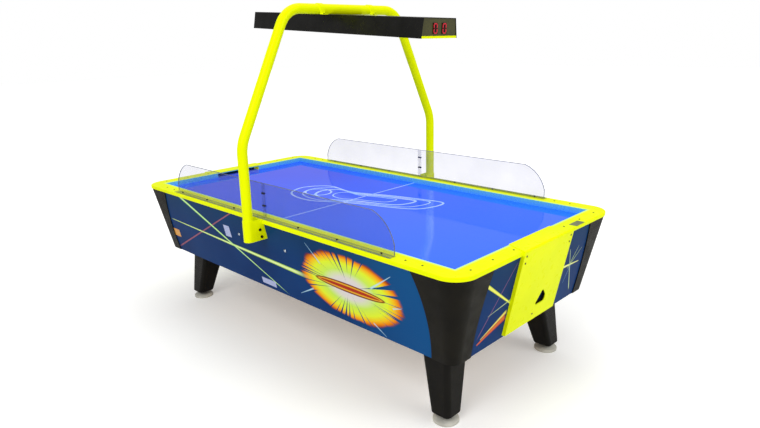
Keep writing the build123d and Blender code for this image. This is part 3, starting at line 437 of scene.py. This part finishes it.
def clear_polycarbonate(name):
    """Faintly blue polycarbonate sheet: it dims what is behind it a little, more at grazing angles."""
    material, tree, shader, where = start_material(
        name, IOR=1.58, Roughness=0.05, Specular_IOR_Level=0.25
    )
    rim = put(tree, "ShaderNodeLayerWeight", {"Blend": 0.3}).outputs["Facing"]
    scratches = smooth(tree, mottle(tree, where, 0.02, 0.0, 1.0, detail=9.0, rough=0.8), 0.8, 1.0, 0.0, 0.08)
    haze = mottle(tree, where, 0.25, 0.15, 0.19)
    cover = math_node(tree, "MULTIPLY_ADD", rim, 0.08, haze)
    cover = math_node(tree, "ADD", cover, scratches, clamp=True)
    feed(tree, shader, Alpha=cover, Roughness=mottle(tree, where, 0.05, 0.04, 0.1))
    shader.inputs["Base Color"].default_value = linear("#3C468C")
    return material


def glowing(name, hex_colour, strength, roughness=0.3):
    """A lit surface, such as a lamp, its lens or a light-emitting segment."""
    material, tree, shader, where = start_material(
        name, Roughness=roughness, Emission_Strength=strength
    )
    level = mottle(tree, where, 0.05, 0.0, 1.0)
    base = linear(hex_colour)
    colour = blend_colour(tree, level, base, tuple(c * 0.85 for c in base[:3]) + (1.0,))
    feed(tree, shader, Base_Color=colour, Emission_Color=colour)
    return material


def smoked_acrylic(name):
    """Smoked acrylic face: dark olive with a hard clear gloss and fine wiping marks."""
    material, tree, shader, where = start_material(
        name, IOR=1.49, Coat_Weight=0.5, Coat_Roughness=0.05
    )
    tone = mottle(tree, where, 0.05, 0.0, 1.0)
    colour = blend_colour(tree, tone, linear("#3B3A12"), linear("#4A4818"))
    feed(tree, shader, Base_Color=colour, Roughness=mottle(tree, where, 0.03, 0.12, 0.25))
    return material


def printed_paper(name, ground, ink):
    """Blank printed label: pale film with a few faint ruled bars."""
    material, tree, shader, where = start_material(name, IOR=1.5, Roughness=0.4)
    height = put(tree, "ShaderNodeSeparateXYZ", {0: where}).outputs[2]
    bars = math_node(tree, "FRACT", math_node(tree, "MULTIPLY", height, 90.0))
    share = smooth(tree, bars, 0.62, 0.7, 0.0, 0.55)
    share = math_node(tree, "MULTIPLY", share, mottle(tree, where, 0.02, 0.2, 1.0))
    feed(tree, shader, Base_Color=blend_colour(tree, share, linear(ground), linear(ink)))
    return material


def polished_edge(name):
    """Sawn and polished edge of clear sheet: it gathers light into a grey-blue line."""
    material, tree, shader, where = start_material(name, IOR=1.58, Specular_IOR_Level=0.3)
    tone = mottle(tree, where, 0.08, 0.0, 1.0)
    colour = blend_colour(tree, tone, linear("#6C7690"), linear("#8F98AC"))
    feed(tree, shader, Base_Color=colour, Roughness=mottle(tree, where, 0.01, 0.15, 0.3))
    shader.inputs["Alpha"].default_value = 0.75
    return material


# Beams are (start, end, (width at start, width at end), core, edge, strength), in metres on the panel.
SIDE_BEAMS = (
    ((-0.262, 0.775), (-1.085, 0.372), (0.007, 0.010), "#B46E78", "#A0505F", 0.75),
    ((-1.06, 0.584), (0.330, 0.535), (0.004, 0.026), "#F0FFB4", "#AADC28", 0.95),
    ((-0.860, 0.778), (0.105, 0.366), (0.020, 0.004), "#DCFFB4", "#8CDC5A", 0.95),
    ((0.340, 0.735), (0.430, 0.640), (0.002, 0.009), "#B4DCF0", "#78B4DC", 0.8),
    ((0.895, 0.705), (0.745, 0.600), (0.002, 0.012), "#C8E6F0", "#8CC8E6", 0.8),
    ((0.930, 0.560), (0.870, 0.540), (0.002, 0.010), "#C8E6F0", "#8CC8E6", 0.7),
    ((0.205, 0.415), (0.330, 0.480), (0.002, 0.010), "#C8E6F0", "#8CC8E6", 0.8),
    ((0.800, 0.368), (0.725, 0.420), (0.002, 0.010), "#C8E6F0", "#8CC8E6", 0.7),
)
SIDE_PATCH = (-1.040, 0.487)
# Labels are (x, z, width, height) and bolts are (x, z), in metres on a side panel.
SIDE_LABELS = ((-0.370, 0.640, 0.058, 0.070), (-0.074, 0.398, 0.125, 0.036))
CAP_BOLTS = ((-0.250, 0.647), (0.159, 0.645))
SIDE_BURST = ((0.600, 0.560), (0.342, 0.176))
END_BEAMS = (
    ((-0.222, 0.745), (-0.425, 0.430), (0.004, 0.007), "#96648C", "#785078", 0.8),
    ((-0.436, 0.700), (-0.180, 0.520), (0.016, 0.007), "#FAF578", "#D2E628", 1.0),
    ((-0.375, 0.530), (-0.190, 0.560), (0.002, 0.007), "#E6F5B4", "#A0C878", 0.8),
    ((-0.415, 0.405), (-0.215, 0.480), (0.008, 0.040), "#E67832", "#BE3246", 0.95),
    ((-0.395, 0.425), (-0.214, 0.506), (0.004, 0.020), "#F5E678", "#D2C83C", 0.95),
    ((0.190, 0.574), (0.418, 0.561), (0.018, 0.004), "#FAFAB4", "#D2E65A", 0.95),
    ((0.272, 0.664), (0.392, 0.396), (0.003, 0.007), "#E6F5BE", "#A0C864", 0.9),
    ((0.364, 0.660), (0.300, 0.545), (0.002, 0.008), "#DCF0AA", "#96BE5A", 0.75),
    ((0.405, 0.640), (0.310, 0.560), (0.002, 0.007), "#DCF0AA", "#96BE5A", 0.7),
    ((0.290, 0.470), (0.330, 0.570), (0.003, 0.008), "#A0C8DC", "#6496C8", 0.5),
)


def dress_frame():
    """Gives every CAD node its material, by its slot or, for printed panels, by its name."""
    by_slot = {
        "fluorescent_rail": fluorescent_plastic("fluorescent_abs", 1.6, 0.34, shaded=True),
        "fluorescent_paint": fluorescent_plastic("fluorescent_powder_coat", 1.1, 0.3),
        "black_moulding": grained_abs("leather_grain_abs", "#17140C", "#0C0A06"),
        "black_leg": grained_abs("moulded_leg_abs", "#191714", "#0F0E0C", grain_mm=1.4, roughness=0.36),
        "cabinet_board": particle_board("particle_board"),
        "fluorescent_cover": fluorescent_plastic("fluorescent_cover", 1.1, 0.3, hollow=True),
        "playfield_laminate": blown_laminate("blown_laminate"),
        "bumper_aluminium": anodised_bumper("anodised_bumper"),
        "zinc_sheet": bare_metal("galvanised_sheet", "#9EA3A6", 0.38, streak_axis=2),
        "zinc_screw": bare_metal("zinc_plated_steel", "#4E4E22", 0.3),
        "motor_casting": powder_coat("painted_casting", "#2B2C2E", roughness=0.5),
        "impeller_plastic": grained_abs("moulded_impeller", "#26262A", "#1A1A1C"),
        "leveller_grey": powder_coat("moulded_leveller", "#BEBCB2", grain_mm=1.4, roughness=0.5),
        "black_screw": powder_coat("black_oxide", "#16150F", roughness=0.3, metallic=0.6),
        "black_sheet": powder_coat("black_powder_coat", "#0B0A08", roughness=0.3),
        "lens_acrylic": glowing("opal_acrylic", "#DDE2EA", 0.35),
        "display_acrylic": smoked_acrylic("smoked_acrylic"),
        "digit_led": powder_coat("digit_module", "#140806", roughness=0.3),
        "lamp_tube": glowing("phosphor_lamp", "#F2F5FA", 0.8),
        "controller_case": grained_abs("black_pbt_case", "#232323", "#171717", grain_mm=0.9),
        "rocker_plastic": grained_abs("gloss_rocker", "#1C1C1C", "#121212", grain_mm=0.6, roughness=0.2),
        "clear_polycarbonate": clear_polycarbonate("clear_polycarbonate"),
    }
    by_node = {
        "side_panel_near": printed_laminate("print_near", 0, 1, SIDE_BEAMS, SIDE_BURST),
        "side_panel_far": printed_laminate("print_far", 0, -1, SIDE_BEAMS, SIDE_BURST),
        "end_panel_right": printed_laminate("print_right", 1, 1, END_BEAMS),
        "end_panel_left": printed_laminate("print_left", 1, -1, END_BEAMS),
        "goal_cover_left": by_slot["fluorescent_cover"],
        "goal_cover_right": by_slot["fluorescent_cover"],
    }
    for row in frame["record"]["subparts"]:
        node = NODES[row["node"]]
        node.data.materials.clear()
        node.data.materials.append(by_node.get(row["node"]) or by_slot[row["material_slot"]])


dress_frame()

# ---------------------------------------------------------------- mesh helpers


def skin(name, rings, material, body, closed=True, smooth_faces=True, bevel=0.0):
    """A surface through rings of equal point count, each a closed outline, with its ends capped."""
    rings = np.asarray(rings, float)
    rows, columns, _ = rings.shape
    index = np.arange(rows * columns).reshape(rows, columns)
    turned = np.roll(index, -1, axis=1)
    quads = np.stack([index[:-1], turned[:-1], turned[1:], index[1:]], axis=-1).reshape(-1, 4)
    faces = quads.tolist()
    if closed:
        faces += [index[0][::-1].tolist(), index[-1].tolist()]
    mesh = bpy.data.meshes.new(name)
    mesh.from_pydata(rings.reshape(-1, 3).tolist(), [], faces)
    solid = bmesh.new()
    solid.from_mesh(mesh)
    bmesh.ops.remove_doubles(solid, verts=solid.verts, dist=1e-6)
    bmesh.ops.recalc_face_normals(solid, faces=solid.faces)
    solid.to_mesh(mesh)
    solid.free()
    mesh.polygons.foreach_set("use_smooth", [smooth_faces] * len(mesh.polygons))
    mesh.materials.append(material)
    piece = bpy.data.objects.new(name, mesh)
    bpy.context.scene.collection.objects.link(piece)
    if bevel:
        edge = piece.modifiers.new("edge", "BEVEL")
        edge.width = bevel
        edge.segments = 2
        edge.limit_method = "ANGLE"
        edge.angle_limit = math.radians(40)
    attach(piece, body)
    return piece


def turned(name, profile, foot, axis, material, body, steps=32):
    """A turned piece: its profile of (radius, height) pairs carried round an axis through foot."""
    axis = Vector(axis).normalized()
    side = axis.orthogonal().normalized()
    other = axis.cross(side)
    angle = np.linspace(0, 2 * np.pi, steps, endpoint=False)
    wheel = np.outer(np.cos(angle), side) + np.outer(np.sin(angle), other)
    profile = np.asarray(profile, float)
    rings = (
        np.asarray(foot)
        + profile[:, 0, None, None] * wheel[None]
        + profile[:, 1, None, None] * np.asarray(axis)
    )
    return skin(name, rings, material, body)


def plate(name, outline, thickness, place, material, body, bevel=0.0):
    """A flat plate: a closed outline in place's X and Y, standing thickness along its Z."""
    outline = np.asarray(outline, float)
    flat = np.column_stack([outline, np.zeros(len(outline)), np.ones(len(outline))])
    raised = flat + np.array([0, 0, thickness, 0])
    frame_matrix = np.asarray(place)
    rings = [(layer @ frame_matrix.T)[:, :3] for layer in (flat, raised)]
    return skin(name, rings, material, body, smooth_faces=False, bevel=bevel)


def rounded(width, height, radius, steps=6):
    """Outline of a rectangle with rounded corners: a quarter circle carried to each corner."""
    quarter = np.linspace(0, np.pi / 2, steps)
    points = []
    for turn, (sx, sy) in enumerate(((1, 1), (-1, 1), (-1, -1), (1, -1))):
        angle = quarter + turn * np.pi / 2
        centre = np.array([sx * (width / 2 - radius), sy * (height / 2 - radius)])
        points.append(centre + radius * np.column_stack([np.cos(angle), np.sin(angle)]))
    return np.concatenate(points)


def closed_curve(points, steps=12):
    """Catmull-Rom curve through points in a ring: each span is 0.5 (2b + (c-a)t + ... t^3)."""
    b = np.asarray(points, float)
    a, c, d = np.roll(b, 1, 0), np.roll(b, -1, 0), np.roll(b, -2, 0)
    t = np.linspace(0, 1, steps, endpoint=False)[None, :, None]
    a, b, c, d = (points[:, None, :] for points in (a, b, c, d))
    curve = 0.5 * (
        2 * b + (c - a) * t + (2 * a - 5 * b + 4 * c - d) * t**2 + (3 * b - a - 3 * c + d) * t**3
    )
    return curve.reshape(-1, 2)


def band(name, curve, width, level, film, material):
    """A printed line: a closed curve in the plane z = level, widened evenly to both sides."""
    run = np.roll(curve, -1, 0) - np.roll(curve, 1, 0)
    run /= np.linalg.norm(run, axis=1)[:, None]
    aside = np.column_stack([-run[:, 1], run[:, 0]]) * width / 2
    at = lambda outline, height: np.column_stack([outline, np.full(len(outline), height)])
    inner, outer = curve - aside, curve + aside
    rings = [
        at(inner, level), at(outer, level), at(outer, level + film), at(inner, level + film),
        at(inner, level),
    ]
    return skin(name, rings, material, "table", closed=False, smooth_faces=False)


# ---------------------------------------------------------------- play lines
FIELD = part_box("playfield")[1].z
LINE_FILM = 0.0002


def printed_line(name):
    """Pale bluish screen-printed ink under the laminate's gloss; its emission paints in a glow, as the
    playfield's does.
    """
    material, tree, shader, where = start_material(
        name, Roughness=0.1, Emission_Strength=0.25, Specular_IOR_Level=0.3
    )
    tone = mottle(tree, where, 0.06, 0.0, 1.0)
    colour = blend_colour(tree, tone, linear("#8CB9FF"), linear("#B4C8FF"))
    feed(tree, shader, Base_Color=colour, Emission_Color=colour)
    return material


def play_lines():
    """Centre line, face-off ring and a plain comet outline drawn four times over."""
    ink = printed_line("screen_printed_line")
    plate(
        "centre_line", rounded(0.009, 2 * SIDE_INNER, 0.001), LINE_FILM,
        Matrix.Translation((0, 0, FIELD)), ink, "table",
    )
    comet = np.array([
        (-0.40, -0.13), (-0.47, 0.02), (-0.36, 0.15), (-0.14, 0.13), (0.11, 0.215), (0.30, 0.262),
        (0.45, 0.282), (0.46, 0.17), (0.375, 0.06), (0.04, -0.055), (-0.19, -0.165),
    ])
    middle = comet.mean(axis=0)
    for number, (share, width) in enumerate(((1.0, 0.013), (0.84, 0.009), (0.66, 0.016), (0.42, 0.009))):
        curve = closed_curve(middle + (comet - middle) * share)
        band(f"comet_{number}", curve, width, FIELD + 0.00002 * number, LINE_FILM, ink)
    angle = np.linspace(0, 2 * np.pi, 64, endpoint=False)
    ring = np.column_stack([-0.30 + 0.085 * np.cos(angle), 0.0 + 0.075 * np.sin(angle)])
    band("comet_head", ring, 0.012, FIELD, LINE_FILM, ink)


play_lines()

# ---------------------------------------------------------------- shield edges
SHIELD_TOP = SHIELD_HIGH.z
RAIL_TOP = SHIELD_LOW.z
SHEET = 0.004
SHOULDER = (
    (SHIELD_END, RAIL_TOP + 0.050), (SHIELD_END - 0.052, SHIELD_TOP - 0.042),
    (SHIELD_END - 0.128, SHIELD_TOP),
)


def arc_through(first, middle, last, steps=16):
    """Points of the circle through three points, from the first to the last."""
    (ax, ay), (bx, by), (cx, cy) = first, middle, last
    spread = 2 * (ax * (by - cy) + bx * (cy - ay) + cx * (ay - by))
    squares = [x * x + y * y for x, y in (first, middle, last)]
    centre = np.array([
        squares[0] * (by - cy) + squares[1] * (cy - ay) + squares[2] * (ay - by),
        squares[0] * (cx - bx) + squares[1] * (ax - cx) + squares[2] * (bx - ax),
    ]) / spread
    begin, finish = (math.atan2(y - centre[1], x - centre[0]) for x, y in (first, last))
    angle = np.linspace(begin, finish, steps)
    radius = math.dist(first, centre)
    return centre + radius * np.column_stack([np.cos(angle), np.sin(angle)])


def shield_edges():
    """A polished strip along each shield's foot corner, shoulder and top: its outline, 2 mm deep."""
    gleam = polished_edge("polished_edge")
    depth, proud = 0.0022, 0.0002
    shoulder = arc_through(*SHOULDER)
    outer = np.vstack([[(SHIELD_END, RAIL_TOP + 0.006)], shoulder, [(0.004, SHIELD_TOP)]])
    run = np.gradient(outer, axis=0)
    run[0], run[-1] = (0, 1), (-1, 0)
    run /= np.linalg.norm(run, axis=1)[:, None]
    inner = outer + np.column_stack([-run[:, 1], run[:, 0]]) * depth
    for end_name, end in (("left", -1), ("right", 1)):
        for side_name, side in (("near", -1), ("far", 1)):
            faces = [side * (FOOT_INNER - proud), side * (FOOT_INNER + SHEET + proud)]
            section = lambda outline, y: np.column_stack(
                [end * outline[:, 0], np.full(len(outline), y), outline[:, 1]]
            )
            rings = np.stack(
                [
                    section(outer, faces[0]), section(outer, faces[1]),
                    section(inner, faces[1]), section(inner, faces[0]),
                ],
                axis=1,
            )
            skin(f"shield_edge_{side_name}_{end_name}", rings, gleam, "table", smooth_faces=False)


shield_edges()

# ---------------------------------------------------------------- labels and bolts on the panels
def on_side(x, z, side=-1, proud=0.0):
    """Frame on a side panel's face: its X along the table, its Z outwards."""
    out = Vector((0, side, -LEAN)).normalized()
    face = PANEL_FACE - (PANEL_TOP - z) * LEAN
    along = Vector((-side, 0, 0))
    place = Matrix((along, out.cross(along), out)).transposed().to_4x4()
    return Matrix.Translation(Vector((x, side * face, z)) + out * proud) @ place


def panel_fittings():
    """Two blank labels and two chromed cap bolts on each long side, and a plate on the right rail."""
    paper = printed_paper("blank_label", "#B4BEE6", "#7882BE")
    chrome = bare_metal("chromed_cap", "#C9D2DC", 0.16)
    for side_name, side in (("near", -1), ("far", 1)):
        mirror = -side
        for number, (x, z, width, height) in enumerate(SIDE_LABELS):
            plate(
                f"label_{side_name}_{number}", rounded(width, height, 0.002), 0.0003,
                on_side(mirror * x, z, side), paper, "table",
            )
        patch = printed_paper("blank_patch", "#E8A83C", "#C8325A")
        plate(
            f"patch_{side_name}", rounded(0.085, 0.052, 0.006), 0.0003,
            on_side(mirror * SIDE_PATCH[0], SIDE_PATCH[1], side), patch, "table",
        )
        cap = [(0, 0.0046), (0.0035, 0.0044), (0.0068, 0.0032), (0.0085, 0.0012), (0.0088, 0.0), (0, 0.0)]
        for number, (x, z) in enumerate(CAP_BOLTS):
            foot = on_side(mirror * x, z, side)
            turned(
                f"cap_bolt_{side_name}_{number}", cap[::-1], foot.translation, foot.col[2].to_3d(),
                chrome, "table",
            )
    mark = printed_paper("serial_plate", "#7D8458", "#5A5F46")
    plate(
        "rating_plate", rounded(0.040, 0.085, 0.002), 0.0004,
        Matrix.Translation((1.2440, 0.300, RAIL_TOP)), mark, "table",
    )


panel_fittings()

# ---------------------------------------------------------------- score canopy
ARCH_TOP = 1.809
TILT = math.radians(3.75)
canopy_frame = Matrix.Translation((0, 0, ARCH_TOP)) @ Matrix.Rotation(TILT, 4, "Y")
DIGIT_HEIGHT = 0.048
DIGIT_WIDTH = 0.028
SEGMENT = 0.0062
DIGIT_PITCH = 0.066
FACE_MIDDLE = -0.0733
red_lit = glowing("lit_segment", "#C0202E", 0.35)
red_dark = powder_coat("unlit_segment", "#3A0F0A", roughness=0.25)


def segment_outline(length, width):
    """A seven-segment bar: a strip with both ends cut to a point."""
    half, side = length / 2, width / 2
    flat = half - side
    return [(-half, 0), (-flat, side), (flat, side), (half, 0), (flat, -side), (-flat, -side)]


def show_digit(name, face, lit):
    """Seven bars on a face: three across, four upright; lit names the ones that glow."""
    reach_up = DIGIT_HEIGHT / 4
    reach_out = DIGIT_WIDTH / 2 - SEGMENT / 2
    upright_middle = reach_up - SEGMENT / 4
    bars = {
        "top": (0, 2 * reach_up - SEGMENT / 2, False), "middle": (0, 0, False),
        "bottom": (0, -2 * reach_up + SEGMENT / 2, False),
        "upper_left": (-reach_out, upright_middle, True), "upper_right": (reach_out, upright_middle, True),
        "lower_left": (-reach_out, -upright_middle, True), "lower_right": (reach_out, -upright_middle, True),
    }
    for bar, (x, y, upright) in bars.items():
        length = (2 * reach_up if upright else DIGIT_WIDTH) - SEGMENT * 0.9
        place = face @ Matrix.Translation((x, y, 0))
        if upright:
            place = place @ Matrix.Rotation(math.pi / 2, 4, "Z")
        piece = plate(
            f"{name}_{bar}", segment_outline(length, SEGMENT), 0.0006, place,
            red_lit if bar in lit else red_dark, "canopy",
        )


ZERO = ("top", "bottom", "upper_left", "upper_right", "lower_left", "lower_right")
HALF_CANOPY = 0.655
fluorescent_lip = fluorescent_plastic("fluorescent_lip", 1.1, 0.3)
for end_name, end in (("left", -1), ("right", 1)):
    # The face looks along the canopy, with its Y up and its X to the viewer's right.
    face_turn = Matrix(((0, 0, end, 0), (end, 0, 0, 0), (0, 1, 0, 0), (0, 0, 0, 1)))
    for place, digit in ((-DIGIT_PITCH / 2, "tens"), (DIGIT_PITCH / 2, "units")):
        spot = Matrix.Translation((end * (HALF_CANOPY + 0.001), end * place, FACE_MIDDLE))
        show_digit(f"digit_{end_name}_{digit}", canopy_frame @ spot @ face_turn, ZERO)
    lip = canopy_frame @ Matrix.Translation((end * (HALF_CANOPY - 0.003), 0, -0.1125)) @ face_turn
    plate(
        f"canopy_lip_{end_name}", rounded(0.258, 0.011, 0.002), 0.0030, lip,
        fluorescent_lip, "canopy", bevel=0.0006,
    )

# ---------------------------------------------------------------- studio


def light(name, size, place, target, power):
    """A soft box aimed at a point."""
    data = bpy.data.lights.new(name, "AREA")
    data.shape = "RECTANGLE"
    data.size, data.size_y = size
    data.energy = power
    lamp = bpy.data.objects.new(name, data)
    aim = (Vector(target) - Vector(place)).to_track_quat("-Z", "Y")
    lamp.matrix_world = Matrix.Translation(place) @ aim.to_matrix().to_4x4()
    bpy.context.scene.collection.objects.link(lamp)


def studio():
    """Pale floor, white surround and three soft boxes."""
    material, tree, shader, where = start_material("studio_floor", Roughness=0.7, Specular_IOR_Level=0.1)
    tone = mottle(tree, where, 1.5, 0.0, 1.0, detail=1.0)
    # Paper sweep lit from behind: brighter further out, and only to the camera, so it lights nothing.
    reach = put(tree, "ShaderNodeVectorMath", {0: where}, operation="LENGTH").outputs["Value"]
    lit = math_node(
        tree, "MULTIPLY", smooth(tree, reach, 0.6, 4.5, 0.22, 0.8),
        put(tree, "ShaderNodeLightPath").outputs["Is Camera Ray"],
    )
    feed(
        tree, shader, Emission_Strength=lit,
        Base_Color=blend_colour(tree, tone, linear("#F4F4F2"), linear("#FAFAF9")),
    )
    shader.inputs["Emission Color"].default_value = (1.0, 1.0, 1.0, 1.0)
    mesh = bpy.data.meshes.new("floor")
    side = 30.0
    corners = [(-side, -side, 0), (side, -side, 0), (side, side, 0), (-side, side, 0)]
    mesh.from_pydata(corners, [], [(0, 1, 2, 3)])
    mesh.materials.append(material)
    floor = bpy.data.objects.new("floor", mesh)
    bpy.context.scene.collection.objects.link(floor)
    world = bpy.data.worlds.new("studio")
    world.use_nodes = True
    tree = world.node_tree
    background = tree.nodes["Background"]
    background.inputs[0].default_value = (1.0, 1.0, 1.0, 1.0)
    seen = put(tree, "ShaderNodeLightPath").outputs["Is Camera Ray"]
    tree.links.new(smooth(tree, seen, 0.0, 1.0, 0.42, 1.0), background.inputs[1])
    bpy.context.scene.world = world
    light("key", (3.0, 3.0), (1.5, -4.5, 4.0), (0, 0, 0.6), 125)
    light("fill", (3.0, 3.0), (5.0, 1.0, 3.0), (0, 0, 0.6), 80)
    light("top", (5.0, 4.0), (-0.5, 0.5, 5.0), (0, 0, 0.7), 100)


studio()
bpy.context.scene.view_settings.view_transform = "Standard"
